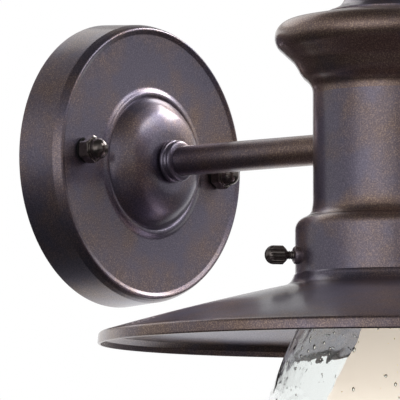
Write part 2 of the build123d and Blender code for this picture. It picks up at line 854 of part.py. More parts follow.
# Leads from the terminal screws, up inside the body, through the arm's pipe and into the plate
def lead_route(side):
    terminal = socket_diameter / 2 + sheet_gap + lead_diameter / 2
    inside = lead_spread * side
    pipe_end = body_wall_depth + body_sheet + saddle_length + pipe_nut_height + plate_sheet
    tail = nose_depth - plate_sheet - pipe_washer_thickness - pipe_nut_height - lead_tail
    beside = side * ((terminal_diameter + lead_diameter) / 2 + sheet_gap)
    route = [(beside, side * terminal - reach, terminal_height - terminal_head_diameter / 2)]
    if side > 0:
        route += [(beside, terminal - reach, 0)]
        route += [(inside, -pipe_end + lead_diameter, 0)]
    else:
        clear = -rod_radius - 3 * lead_diameter
        route += [(beside, -terminal - reach, 2 * lead_diameter), (clear, -reach, 2 * lead_diameter)]
        route += [(clear, -pipe_end - 4 * lead_diameter, lead_diameter), (inside, -pipe_end, 0)]
    return route + [(inside, -tail, 0)]


def make_lead(side):
    points = lead_route(side)
    path = FilletPolyline(*points, radius=2 * lead_diameter)
    return sweep(Plane(path @ 0, z_dir=path % 0) * Circle(lead_diameter / 2), path)


nodes = {
    "back_plate": make_back_plate(),
    "wall_gasket": make_wall_gasket(),
    "box_bar": make_box_bar(),
    "fixture_bar": make_fixture_bar(),
    "bar_pivot": make_bar_pivot(),
    "ground_screw": make_ground_screw(),
    "ground_lead": make_ground_lead(),
    "mounting_studs": make_mounting_studs(),
    "stud_nuts": make_stud_nuts(),
    "arm_ferrule": make_arm_ferrule(),
    "arm_tube": make_arm_tube(),
    "arm_pipe": make_arm_pipe(),
    "pipe_washer": make_pipe_washer(),
    "pipe_nuts": make_pipe_nuts(),
    "arm_saddle": make_arm_saddle(),
    "body_shell": make_body_shell(),
    "crown": make_crown(),
    "top_cap": make_top_cap(),
    "finial_washer": make_finial_washer(),
    "finial": make_finial(),
    "fitter_collar": make_fitter_collar(),
    "shade": make_shade(),
    "screw_bosses": Compound([make_boss(angle) for angle in screw_angles]),
    "jar_neck": make_jar_neck(),
    "jar_shoulder": make_jar_shoulder(),
    "jar_base": make_jar_base(),
    "jar_foot": make_jar_foot(),
    "jar_gasket": make_jar_gasket(),
    "centre_rod": make_centre_rod(),
    "rod_nut": make_rod_nut(),
    "socket_strap": make_socket_strap(),
    "socket_body": make_socket_body(),
    "socket_shell": make_socket_shell(),
    "socket_contact": make_socket_contact(),
    "terminal_screws": make_terminal_screws(),
    "lamp_glass": make_lamp_glass(),
    "lamp_cap": make_lamp_cap(),
    "lamp_contact": make_lamp_contact(),
    "hot_lead": make_lead(1),
    "neutral_lead": make_lead(-1),
}
for number, washer in enumerate(on_studs(make_cap_nut_washer()), 1):
    nodes[f"cap_nut_washer_{number}"] = washer
for number, nut in enumerate(on_studs(make_cap_nut()), 1):
    nodes[f"cap_nut_{number}"] = nut
for number, angle in enumerate(screw_angles, 1):
    nodes[f"screw_tip_{number}"] = make_screw_tip(angle)
    nodes[f"thumbscrew_{number}"] = make_thumbscrew(angle)

os.makedirs("parts", exist_ok=True)
for name, solid in nodes.items():
    export_step(solid, f"parts/{name}.step")
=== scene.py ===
"""Outdoor wall lantern: spun bronze plate, arm, body and shade, seeded glass jar and frosted lamp."""
import json
import random
from math import acos, atan2, cos, hypot, pi, radians, sin, tan

import bpy
from mathutils import Matrix, Vector


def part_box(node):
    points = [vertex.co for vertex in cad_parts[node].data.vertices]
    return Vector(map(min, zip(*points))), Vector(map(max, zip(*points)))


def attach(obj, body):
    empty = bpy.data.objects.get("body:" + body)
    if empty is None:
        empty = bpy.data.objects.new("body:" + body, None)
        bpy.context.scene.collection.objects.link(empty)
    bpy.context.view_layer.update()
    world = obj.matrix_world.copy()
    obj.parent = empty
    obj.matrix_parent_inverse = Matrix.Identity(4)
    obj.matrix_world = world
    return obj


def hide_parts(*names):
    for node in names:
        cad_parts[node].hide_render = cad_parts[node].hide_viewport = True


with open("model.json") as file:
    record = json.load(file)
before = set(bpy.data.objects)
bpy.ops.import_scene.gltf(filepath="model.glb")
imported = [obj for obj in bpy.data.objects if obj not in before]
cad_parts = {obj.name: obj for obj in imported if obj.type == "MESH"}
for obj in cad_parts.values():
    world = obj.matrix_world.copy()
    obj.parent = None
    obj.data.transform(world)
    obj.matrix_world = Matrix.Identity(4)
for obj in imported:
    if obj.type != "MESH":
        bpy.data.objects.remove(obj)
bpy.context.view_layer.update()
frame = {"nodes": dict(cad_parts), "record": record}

bl_info = {
    "name": "Wall lantern",
    "version": (1, 0, 0),
    "blender": (4, 5, 0),
    "location": "View3D > Sidebar > Lantern",
    "description": "Models an outdoor wall lantern in its finishes, with its studio stage",
    "category": "Add Mesh",
}

MM = 0.001
CENTRE = Vector((0, 0, 0))
ACROSS = Vector((1, 0, 0))
OUT = Vector((0, -1, 0))
UP = Vector((0, 0, 1))
BRONZE_PAINT = "rubbed_bronze_paint"
BLACK_OXIDE = "black_oxide_steel"
MAP_FROM = ("From Min", "From Max")

# Outlines in millimetres, as radius and height. Plate edge: from the bead and its crest
BEAD_FRONT = ((0.6, -0.25), (-0.1, -0.1), (-1.2, -0.6), (-2.2, -1.0))
# Plate ring: from its outside and the flat face
RING_SWELL = ((0.8, 0), (-0.7, 0.45), (-2.0, 1.2), (-3.2, 1.25), (-4.0, 0.8))
# Plate dome: from the axis and the flat face
DOME = ((28.0, 3.0), (25.2, 6.1), (21.4, 8.9), (15.0, 11.0))
DOME_INSIDE = ((14.8, 10.0), (20.9, 8.0), (24.5, 5.5), (27.2, 2.6))
# Body foot: from the axis and the foot
BODY_FLARE = ((36.5, 3.2), (37.4, 1.3), (38.7, 0.3))
# Crown, cap and jar: from the axis and the arm's height
CROWN_OGEE = ((36.3, 23.4), (37.5, 25.5), (39.7, 27.6), (41.2, 29.6), (42.4, 31.8), (43.9, 34.1),
              (46.3, 36.4))
CROWN_INSIDE = ((45.4, 37.1), (43.0, 34.7), (41.4, 32.2), (40.2, 30.1), (38.8, 28.3), (36.8, 26.3),
                (35.4, 24.0))
CAP_FLARE = ((28.6, 56.3), (26.9, 57.1), (24.8, 58.2), (23.3, 59.8), (22.2, 62.0), (20.2, 67.6), (10.0, 74.0))
CAP_INSIDE = ((10.0, 73.0), (18.8, 67.4), (21.0, 61.6), (22.4, 59.2), (24.2, 57.4))
JAR_SHOULDER = ((38.8, -68.0), (43.4, -79.7), (50.2, -94.8), (54.9, -108.7))
JAR_HEEL = ((56.0, -176.0), (44.0, -190.0))
JAR_HEEL_INSIDE = ((42.4, -186.6), (53.2, -175.0))
JAR_SHOULDER_INSIDE = ((52.0, -108.0), (47.5, -94.0), (41.0, -80.4), (35.8, -69.0))
JAR_WIDEST_HEIGHT = -140.0

# Noise cells per metre: paint clouds of 33 mm, paint grit of 0.5 mm, wear on oxide of 1.4 mm, waves in blown
# glass of 9 mm and frosting of 1.1 mm, which is coarser than real frosting so that it shows
CLOUDS = 30
GRIT = 1900
WEAR = 700
WAVES = 110
FROST = 900

# Soft boxes: name, place, target, width and height in metres, power in watts
SOFT_BOXES = (
    ("key_softbox", (1.04, -0.36, 0.87), (0, -0.06, 0.02), 0.70, 0.50, 2.6),
    ("back_softbox", (0.35, 1.30, 1.05), (0, -0.10, 0.0), 1.6, 0.9, 1.2),
    ("front_softbox", (0.45, -1.15, 1.00), (0, -0.10, 0.02), 0.80, 0.50, 1.1),
    ("left_softbox", (-1.36, -0.30, 0.05), (0, -0.12, 0), 1.4, 0.9, 0.8),
)
SOFT_BOX_SPREAD = radians(90)
# Light of the room by height of view, from straight down at 0 to straight up at 1
ROOM_LIGHT = ((0.0, 0.02), (0.40, 0.04), (0.50, 0.40), (0.70, 0.50), (0.82, 0.18), (0.93, 0.05))
# Backdrop: the way to its middle, then where its sides and its upper edge begin and end to show
BACKDROP_WAY = (0.76, 0.65, 0.0)
BACKDROP_SIDES = (0.50, 0.80)
BACKDROP_EDGE = (0.32, 0.18)
FLOOR_SIZE = 3
FLOOR_PLACE = (0, -0.2, -1.6)
CAMERA_PLACE = (-1.37521, -1.22672, -0.17338)
CAMERA_TURN = (radians(90 + 4.9071), 0, radians(-49.4405))
CAMERA_LENS = 371.09
CAMERA_SENSOR = 36
CAMERA_FAR = 50


def linear(code):
    """Linear colour with alpha from an sRGB hex code."""
    parts = [int(code[i:i + 2], 16) / 255 for i in (1, 3, 5)]
    return (*(c / 12.92 if c <= 0.04045 else ((c + 0.055) / 1.055) ** 2.4 for c in parts), 1.0)


def size_of(node, axis):
    """Length of a CAD node along one axis, in metres."""
    low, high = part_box(node)
    return high[axis] - low[axis]


def ends_of(node, axis):
    """Lower and upper end of a CAD node along one axis, in millimetres."""
    low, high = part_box(node)
    return low[axis] / MM, high[axis] / MM


def length(name, description, default):
    """Length property, in metres."""
    return bpy.props.FloatProperty(name=name, description=description, default=default, min=0, unit="LENGTH",
                                   precision=4)


def tint(name, description, code):
    """Colour property, from an sRGB hex code."""
    return bpy.props.FloatVectorProperty(name=name, description=description, default=linear(code), size=4,
                                         min=0, max=1, subtype="COLOR")


class LanternSizes(bpy.types.PropertyGroup):
    """Main sizes of the lantern, from its solids."""
    reach: length("Reach", "Wall to the lantern's upright axis",
                  -(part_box("body_shell")[0][1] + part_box("body_shell")[1][1]) / 2)
    plate_diameter: length("Plate diameter", "Outside diameter of the wall plate", size_of("back_plate", 0))
    plate_depth: length("Plate depth", "Wall to the crest of the plate's bead", 0.0224)
    dome_diameter: length("Dome ring diameter", "Outside of the ring round the plate's dome", 0.067)
    nose_depth: length("Nose depth", "Wall to the front of the plate's dome", size_of("back_plate", 1))
    arm_diameter: length("Arm diameter", "Outside of the arm's cover tube", size_of("arm_tube", 0))
    body_diameter: length("Body diameter", "Outside of the plain body", 0.072)
    collar_diameter: length("Collar diameter", "Outside of the collar that holds the glass", 0.0872)
    shade_diameter: length("Shade diameter", "Outside of the shade's lip", size_of("shade", 0))
    jar_wall: length("Glass thickness", "Wall of the glass jar", 0.003)
    seed_size: length("Seed size", "Radius of the largest air bubble in the glass", 0.0009)
    seed_count: bpy.props.IntProperty(name="Seeds", description="Air bubbles blown into the glass",
                                      default=1100, min=0)


class LanternColours(bpy.types.PropertyGroup):
    """Colours of the lantern's finishes."""
    bronze: tint("Bronze", "Ground colour of the rubbed bronze paint", "#787184")
    umber: tint("Umber", "Brown patches rubbed into the paint", "#8E766E")
    gold: tint("Gold", "Fine gold speckle in the paint", "#B9A08A")
    black: tint("Black oxide", "Colour of nuts and thumbscrews", "#7A726F")
    lamp: tint("Lamp", "Frosted coat of the lamp", "#F1E7DA")


def sizes():
    return bpy.context.scene.lantern_sizes


def colours():
    return bpy.context.scene.lantern_colours


# Outlines: lists of points in millimetres, a radius and a height, depth or distance along an axis
def shifted(points, radius, base):
    """Points counted from a radius and a base height."""
    return [(radius + r, base + h) for r, h in points]


def arc(centre, radius, start, end, count=10):
    """Points on an arc between two angles in degrees."""
    angles = [radians(start + (end - start) * i / count) for i in range(count + 1)]
    return [(centre[0] + radius * cos(a), centre[1] + radius * sin(a)) for a in angles]


def bowed(start, end, rise, count=16):
    """Points on a shallow arc, raised to the left of its direction by a sagitta."""
    run = (end[0] - start[0], end[1] - start[1])
    chord = hypot(*run)
    side = (-run[1] / chord, run[0] / chord)
    points = []
    for i in range(count + 1):
        t = i / count
        lift = 4 * rise * t * (1 - t)
        points.append((start[0] + run[0] * t + side[0] * lift, start[1] + run[1] * t + side[1] * lift))
    return points


def flowing(points, first, last, count=8):
    """Points on a smooth curve through the given ones, with set directions at both ends."""
    ways = [Vector(first)]
    for before, after in zip(points, points[2:]):
        ways.append((Vector(after) - Vector(before)).normalized())
    ways.append(Vector(last))
    line = [tuple(points[0])]
    for i in range(len(points) - 1):
        a, b = Vector(points[i]), Vector(points[i + 1])
        span = (b - a).length
        p, q = ways[i].normalized() * span, ways[i + 1].normalized() * span
        for k in range(1, count + 1):
            t = k / count
            line.append(tuple(a * (2 * t ** 3 - 3 * t ** 2 + 1) + p * (t ** 3 - 2 * t ** 2 + t)
                              + b * (3 * t ** 2 - 2 * t ** 3) + q * (t ** 3 - t ** 2)))
    return line


def eased(corners, count=5):
    """Outline through corners of radius, height and rounding, each corner rounded off."""
    line = []
    last = len(corners) - 1
    for i, (x, y, ease) in enumerate(corners):
        here = Vector((x, y))
        if ease == 0 or i in (0, last):
            line.append((x, y))
            continue
        back = (Vector(corners[i - 1][:2]) - here).normalized()
        on = (Vector(corners[i + 1][:2]) - here).normalized()
        half = acos(max(-1, min(1, back.dot(on)))) / 2
        middle = here + (back + on).normalized() * ease / sin(half)
        start = here + back * ease / tan(half) - middle
        end = here + on * ease / tan(half) - middle
        first = atan2(start.y, start.x)
        turn = (atan2(end.y, end.x) - first + pi) % (2 * pi) - pi
        for k in range(count + 1):
            a = first + turn * k / count
            line.append((middle.x + ease * cos(a), middle.y + ease * sin(a)))
    return line


# Modelling by operators
def clear_selection():
    if bpy.context.object and bpy.context.object.mode != "OBJECT":
        bpy.ops.object.mode_set(mode="OBJECT")
    bpy.ops.object.select_all(action="DESELECT")


def settle(name, smooth=32):
    """Names the active piece, applies its place and smooths its shading below an angle in degrees."""
    piece = bpy.context.object
    piece.name = name
    piece.data.name = name
    bpy.ops.object.transform_apply(location=True, rotation=True, scale=True)
    bpy.ops.object.shade_smooth_by_angle(angle=radians(smooth))
    return piece


def turned(name, outline, origin, along=UP, steps=160, smooth=32):
    """Lathes an outline of radius and distance along an axis, given in millimetres, round that axis."""
    place = [origin + ACROSS * r * MM + along * h * MM for r, h in outline]
    clear_selection()
    bpy.ops.mesh.primitive_plane_add(size=MM, location=place[0], enter_editmode=True)
    bpy.ops.mesh.merge(type="CENTER")
    for here, there in zip(place, place[1:]):
        bpy.ops.mesh.extrude_region_move(TRANSFORM_OT_translate={"value": there - here})
    bpy.ops.mesh.select_all(action="SELECT")
    bpy.ops.mesh.spin(steps=steps, angle=2 * pi, center=origin, axis=along)
    bpy.ops.mesh.select_all(action="SELECT")
    bpy.ops.mesh.remove_doubles(threshold=0.000002)
    bpy.ops.mesh.normals_make_consistent(inside=False)
    bpy.ops.object.mode_set(mode="OBJECT")
    return settle(name, smooth)


def upright(name, outline, **options):
    """Lathes an outline of radius and height round the lantern's axis."""
    return turned(name, outline, Vector((0, -sizes().reach, 0)), **options)


def on_wall(name, outline, **options):
    """Lathes an outline of radius and depth from the wall round the plate's axis."""
    return turned(name, outline, CENTRE, along=OUT, **options)


def cut(piece, cutter, operation):
    """Applies a boolean between two meshes and removes the cutter."""
    clear_selection()
    bpy.context.view_layer.objects.active = piece
    piece.select_set(True)
    knife = piece.modifiers.new("cut", "BOOLEAN")
    knife.operation = operation
    knife.object = cutter
    knife.solver = "EXACT"
    bpy.ops.object.modifier_apply(modifier="cut")
    bpy.data.objects.remove(cutter)


def joined(pieces):
    """Joins meshes into the first one."""
    clear_selection()
    for piece in pieces:
        piece.select_set(True)
    bpy.context.view_layer.objects.active = pieces[0]
    bpy.ops.object.join()
    return pieces[0]


def copied(piece, name, place):
    """Copy of a piece with a mesh of its own, moved by a matrix that goes into the mesh."""
    clear_selection()
    piece.select_set(True)
    bpy.context.view_layer.objects.active = piece
    bpy.ops.object.duplicate(linked=False)
    bpy.context.object.matrix_world = place
    return settle(name)


def fitted(piece, body, slot, finish, *nodes):
    """Gives a piece its finish by name, the body it rides on and the solids it stands for."""
    piece.data.materials.clear()
    piece.data.materials.append(bpy.data.materials[finish])
    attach(piece, body)
    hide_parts(*nodes)
    return piece


def rub(piece, share):
    """Marks how far a piece's paint is rubbed to brown, by a function of height in millimetres."""
    mark = piece.data.attributes.new("rubbed", "FLOAT", "POINT")
    for vertex, value in zip(piece.data.vertices, mark.data):
        value.value = share(vertex.co.z / MM)


def faded(value, most):
    """Value held between nothing and a most."""
    return max(0, min(most, value))


# Finishes
def add(tree, kind, links=(), inputs=(), stops=(), **settings):
    """Adds a node with its settings, linked and constant inputs, and a ramp's stops of place and level."""
    new = tree.nodes.new(kind)
    for key, value in settings.items():
        setattr(new, key, value)
    for socket, value in inputs:
        new.inputs[socket].default_value = value
    for socket, source in links:
        tree.links.new(source, new.inputs[socket])
    if stops:
        marks = new.color_ramp.elements
        while len(marks) < len(stops):
            marks.new(0.5)
        for mark, (place, level) in zip(marks, stops):
            mark.position = place
            mark.color = (level, level, level, 1)
    return new


def new_finish(name):
    """New material; returns its node tree, its Principled shader and its object coordinates."""
    known = bpy.data.materials.get(name)
    if known:
        bpy.data.materials.remove(known)
    finish = bpy.data.materials.new(name)
    finish.use_nodes = True
    tree = finish.node_tree
    return tree, tree.nodes["Principled BSDF"], add(tree, "ShaderNodeTexCoord").outputs["Object"]


def rubbed_bronze():
    """Dark bronze paint, sprayed and rubbed back: satin, with brown clouds and a fine gold grit."""
    tree, paint, place = new_finish(BRONZE_PAINT)
    c = colours()
    # Brown shows through the violet-grey ground in clouds, and more where a piece is marked as rubbed
    cloud = add(tree, "ShaderNodeTexNoise", [("Vector", place)],
                [("Scale", CLOUDS), ("Detail", 6), ("Roughness", 0.6)]).outputs["Fac"]
    rubbed = add(tree, "ShaderNodeAttribute", attribute_name="rubbed").outputs["Fac"]
    brown = add(tree, "ShaderNodeMath", [(0, rubbed), (2, cloud)], [(1, 0.22)],
                operation="MULTIPLY_ADD").outputs[0]
    patch = add(tree, "ShaderNodeValToRGB", [("Fac", brown)], stops=((0.42, 0), (0.68, 1)))
    ground = add(tree, "ShaderNodeMix", [("Factor", patch.outputs["Color"])], data_type="RGBA")
    ground.inputs["A"].default_value = c.bronze
    ground.inputs["B"].default_value = c.umber
    # Grit, light and dark, and gold where the brown is rubbed through
    grit = add(tree, "ShaderNodeTexNoise", [("Vector", place)],
               [("Scale", GRIT), ("Detail", 1)]).outputs["Fac"]
    fleck = add(tree, "ShaderNodeValToRGB", [("Fac", grit)], stops=((0.54, 0), (0.68, 1)))
    where = add(tree, "ShaderNodeValToRGB", [("Fac", brown)], stops=((0.42, 0.12), (0.70, 0.7)))
    amount = add(tree, "ShaderNodeMath", [(0, fleck.outputs["Color"]), (1, where.outputs["Color"])],
                 operation="MULTIPLY")
    gilded = add(tree, "ShaderNodeMix", [("Factor", amount.outputs[0]), ("A", ground.outputs["Result"])],
                 data_type="RGBA")
    gilded.inputs["B"].default_value = c.gold
    speckle = add(tree, "ShaderNodeMapRange", [("Value", grit)],
                  [("From Min", 0.3), ("From Max", 0.7), ("To Min", 0.74), ("To Max", 1.26)])
    colour = add(tree, "ShaderNodeVectorMath",
                 [(0, gilded.outputs["Result"]), ("Scale", speckle.outputs["Result"])], operation="SCALE")
    gloss = add(tree, "ShaderNodeValToRGB", [("Fac", cloud)], stops=((0.3, 0.36), (0.7, 0.48)))
    bump = add(tree, "ShaderNodeBump", [("Height", grit)], [("Strength", 0.10), ("Distance", 0.0003)])
    tree.links.new(colour.outputs["Vector"], paint.inputs["Base Color"])
    tree.links.new(gloss.outputs["Color"], paint.inputs["Roughness"])
    tree.links.new(bump.outputs["Normal"], paint.inputs["Normal"])
    paint.inputs["Metallic"].default_value = 0.92
    paint.inputs["Coat Weight"].default_value = 0.8
    paint.inputs["Coat Roughness"].default_value = 0.16


def black_oxide():
    """Steel blackened in a hot bath and oiled: dark, fairly shiny metal with darker brown flecks."""
    tree, steel, place = new_finish(BLACK_OXIDE)
    noise = add(tree, "ShaderNodeTexNoise", [("Vector", place)], [("Scale", WEAR), ("Detail", 4)])
    worn = add(tree, "ShaderNodeValToRGB", [("Fac", noise.outputs["Fac"])], stops=((0.45, 0), (0.8, 0.8)))
    mix = add(tree, "ShaderNodeMix", [("Factor", worn.outputs["Color"])], data_type="RGBA")
    mix.inputs["A"].default_value = colours().black
    mix.inputs["B"].default_value = linear("#4A403C")
    tree.links.new(mix.outputs["Result"], steel.inputs["Base Color"])
    steel.inputs["Metallic"].default_value = 0.9
    steel.inputs["Roughness"].default_value = 0.20


def seeded_glass():
    """Clear blown soda glass: wavy skin that bends what lies behind it."""
    tree, glass, place = new_finish("seeded_clear_glass")
    wave = add(tree, "ShaderNodeTexNoise", [("Vector", place)], [("Scale", WAVES), ("Detail", 1)])
    bump = add(tree, "ShaderNodeBump", [("Height", wave.outputs["Fac"])],
               [("Strength", 0.35), ("Distance", 0.0012)])
    tree.links.new(bump.outputs["Normal"], glass.inputs["Normal"])
    glass.inputs["Base Color"].default_value = linear("#FBFDFC")
    glass.inputs["Transmission Weight"].default_value = 1
    glass.inputs["IOR"].default_value = 1.51
    glass.inputs["Roughness"].default_value = 0.0


def frosted_lamp():
    """Glass bulb with a fine white coat inside: warm and matt, with a painted glow that stands in for light
    shining through the coat.
    """
    tree, coat, place = new_finish("frosted_lamp_glass")
    noise = add(tree, "ShaderNodeTexNoise", [("Vector", place)], [("Scale", FROST), ("Detail", 3)])
    grain = add(tree, "ShaderNodeValToRGB", [("Fac", noise.outputs["Fac"])], stops=((0.35, 0), (0.7, 0.25)))
    mix = add(tree, "ShaderNodeMix", [("Factor", grain.outputs["Color"])], data_type="RGBA")
    mix.inputs["A"].default_value = colours().lamp
    mix.inputs["B"].default_value = linear("#FFFFFF")
    # Painted glow: light shining through the frosted coat is painted as emission, stronger towards the bottom
    # of the bulb
    height = add(tree, "ShaderNodeSeparateXYZ", [("Vector", place)]).outputs["Z"]
    painted_glow = add(tree, "ShaderNodeMapRange", [("Value", height)],
               [("From Min", -0.070), ("From Max", -0.120), ("To Min", 0.46), ("To Max", 0.80)])
    tree.links.new(mix.outputs["Result"], coat.inputs["Base Color"])
    tree.links.new(painted_glow.outputs["Result"], coat.inputs["Emission Strength"])
    coat.inputs["Roughness"].default_value = 0.45
    coat.inputs["Emission Color"].default_value = linear("#FFEEDD")


def mottled(name, light, dark, rough, grain_mm, metallic):
    """Plain finish with a faint mottle of two colours, in a grain given in millimetres."""
    tree, shader, place = new_finish(name)
    grain = add(tree, "ShaderNodeTexNoise", [("Vector", place)],
                [("Scale", 1 / (grain_mm * MM)), ("Detail", 4)])
    mix = add(tree, "ShaderNodeMix", [("Factor", grain.outputs["Fac"])], data_type="RGBA")
    mix.inputs["A"].default_value = linear(light)
    mix.inputs["B"].default_value = linear(dark)
    tree.links.new(mix.outputs["Result"], shader.inputs["Base Color"])
    shader.inputs["Metallic"].default_value = metallic
    shader.inputs["Roughness"].default_value = rough


# Finishes of the solids that keep their shape, by slot: name, two colours, roughness, grain in mm, metallic
PLAIN_FINISHES = {
    # Closed-cell foam, cut from sheet: sooty and quite matt
    "foam": ("closed_cell_foam", "#26262A", "#1C1C1F", 0.9, 0.8, 0),
    # Moulded rubber: black with a dull sheen
    "rubber": ("moulded_rubber", "#1E1D1D", "#151515", 0.7, 1.5, 0),
    # Natural nylon, moulded: waxy off-white
    "tip_nylon": ("natural_nylon", "#E2DDD0", "#D6D0C2", 0.5, 2, 0),
    # Glazed porcelain: creamy white with sharp glints
    "porcelain": ("glazed_porcelain", "#EAE6DC", "#E2DDD0", 0.18, 6, 0),
    # Drawn wire insulation: plain plastic with a soft sheen
    "black_lead": ("black_wire_insulation", "#1B1B1C", "#141414", 0.5, 2, 0),
    "white_lead": ("white_wire_insulation", "#DEDCD6", "#D2D0CA", 0.5, 2, 0),
    # Zinc-plated steel: pale grey with a soft metal shine
    "zinc_steel": ("zinc_plated_steel", "#B8BABD", "#9EA0A4", 0.34, 1.2, 1),
    # Dyed zinc on the ground screw: deep green metal
    "green_screw": ("green_dyed_zinc", "#2F7A48", "#256339", 0.35, 1, 1),
    # Bare drawn copper: warm red shine
    "copper": ("bare_copper", "#C4764C", "#A9623D", 0.3, 1, 1),
    # Stamped brass: yellow shine
    "brass": ("stamped_brass", "#C9A659", "#B08F48", 0.3, 1.5, 1),
    # Tinned contact: dull silver
    "lamp_tip": ("tinned_contact", "#A7A7A5", "#8E8E8C", 0.35, 1, 1),
}
# Bare spun aluminium of the lamp's cap: light silver with a soft shine
LAMP_CAP_FINISH = ("bare_aluminium", "#C4C4C2", "#ABABA9", 0.32, 1, 1)


# Operators: one for each piece or group of like pieces
class LANTERN_OT_finishes(bpy.types.Operator):
    """Mix the finishes that several pieces share."""
    bl_idname = "lantern.finishes"
    bl_label = "Shared finishes"

    def execute(self, context):
        rubbed_bronze()
        black_oxide()
        seeded_glass()
        frosted_lamp()
        mottled(*LAMP_CAP_FINISH)
        return {"FINISHED"}


class LANTERN_OT_plate(bpy.types.Operator):
    """Spin the wall plate: pan, bead, flat face, ring and dome."""
    bl_idname = "lantern.plate"
    bl_label = "Wall plate"

    def execute(self, context):
        s = sizes()
        sheet, hole, nose_radius = 1, 5.4, 9.5
        rim, crest = s.plate_diameter / 2 / MM, s.plate_depth / MM
        ring, nose = s.dome_diameter / 2 / MM, s.nose_depth / MM
        face = crest - 0.7
        bead = rim - 3.9
        shoulder = crest - 4.2
        side = eased([(rim, 0, 0), (rim - 1.4, shoulder, 2.6), (bead + 1.7, crest - 1.9, 0.6),
                      (bead + 1.1, crest - 0.9, 0)], 8)
        front = flowing([side[-1]] + shifted(BEAD_FRONT, bead, crest), (-0.3, 1), (-1, -0.02), 5)[1:]
        swell = flowing(shifted(RING_SWELL, ring, face), (-1, 0), (-0.8, -0.6), 6)
        dome = flowing([swell[-1]] + shifted(DOME, 0, face) + [(nose_radius, nose)],
                       (-0.62, 0.78), (-1, 0), 9)[1:]
        inside = [(hole, nose), (hole, nose - sheet)]
        inside += flowing([(nose_radius, nose - sheet)] + shifted(DOME_INSIDE, 0, face)
                          + [(ring - 3.9, face + 0.2)], (1, 0), (0.8, -0.6), 6)
        inside += [(ring - 2.0, face + 0.1), (ring, face - sheet), (bead, face - sheet),
                   (rim - 2.4, shoulder), (rim - sheet, 0), (rim, 0)]
        outline = side + front + [(ring + 1.2, face)] + swell + dome + inside
        fitted(on_wall("wall_plate", outline, steps=200), "root", "bronze", BRONZE_PAINT, "back_plate")
        return {"FINISHED"}


class LANTERN_OT_cap_nuts(bpy.types.Operator):
    """Make the hexagonal cap nuts on the plate's face."""
    bl_idname = "lantern.cap_nuts"
    bl_label = "Cap nuts"

    def execute(self, context):
        low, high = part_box("cap_nut_1")
        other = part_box("cap_nut_2")[0]
        seat, top = -high[1] / MM, -low[1] / MM
        centre = Vector(((low[0] + high[0]) / 2, 0, (low[2] + high[2]) / 2))
        half_flats, dome, height, chamfer = 5.3, 4.7, 5.2, 0.7
        corner = half_flats / cos(pi / 6)
        shoulder = seat + height
        nut_line = -radians(3.5)
        clear_selection()
        bpy.ops.mesh.primitive_cylinder_add(vertices=6, radius=corner * MM, depth=height * MM,
                                            location=centre + Vector((0, -(seat + height / 2) * MM, 0)),
                                            rotation=(pi / 2, nut_line, 0), enter_editmode=True)
        bpy.ops.mesh.bevel(offset=0.18 * MM, segments=2, affect="EDGES")
        bpy.ops.object.mode_set(mode="OBJECT")
        nut = settle("cap_nut_left", 40)
        barrel = [(0, seat), (half_flats, seat), (corner, seat + chamfer), (corner, shoulder - chamfer),
                  (half_flats - 0.1, shoulder), (0, shoulder)]
        cut(nut, turned("barrel", barrel, centre, along=OUT, steps=48), "INTERSECT")
        cap = [(0, shoulder - 1), (dome, shoulder - 1), (dome, shoulder + 0.25),
               (dome - 0.25, shoulder + 0.5)]
        cap += arc((0, top - dome), dome, 14, 90, 12)
        nut = joined([nut, turned("crown", cap, centre, along=OUT, steps=48)])
        bpy.ops.object.shade_smooth_by_angle(angle=radians(30))
        twin = copied(nut, "cap_nut_right", Matrix.Translation((other[0] - low[0], 0, other[2] - low[2])))
        fitted(nut, "cap_nut_1", "black_hardware", BLACK_OXIDE, "cap_nut_1")
        fitted(twin, "cap_nut_2", "black_hardware", BLACK_OXIDE, "cap_nut_2")
        return {"FINISHED"}


class LANTERN_OT_arm(bpy.types.Operator):
    """Make the arm's cover tube and the beaded ferrule at the plate."""
    bl_idname = "lantern.arm"
    bl_label = "Arm and ferrule"

    def execute(self, context):
        s = sizes()
        nose, outer = s.nose_depth / MM, s.arm_diameter / 2 / MM
        hole, bore, sleeve = 5.4, 5.35, outer + 0.05
        seat, front = nose + 1.6, nose + 6.4
        ring = [(hole, nose), (8.0, nose)]
        ring += arc((8.4, nose + 1.68), 1.15, -80, 80, 8) + arc((7.9, nose + 4.9), 1.2, -75, 75, 8)
        ring += [(7.4, front), (sleeve, front), (sleeve, seat), (hole, seat), (hole, nose)]
        fitted(on_wall("arm_ferrule_beaded", ring, steps=96), "root", "bronze", BRONZE_PAINT, "arm_ferrule")
        end = s.reach / MM - s.body_diameter / 2 / MM + 1.2
        outline = [(bore, seat), (outer, seat), (outer, end), (bore, end), (bore, seat)]
        tube = on_wall("arm_cover_tube", outline, steps=96)
        rub(fitted(tube, "root", "bronze", BRONZE_PAINT, "arm_tube"), lambda z: 0.5)
        return {"FINISHED"}


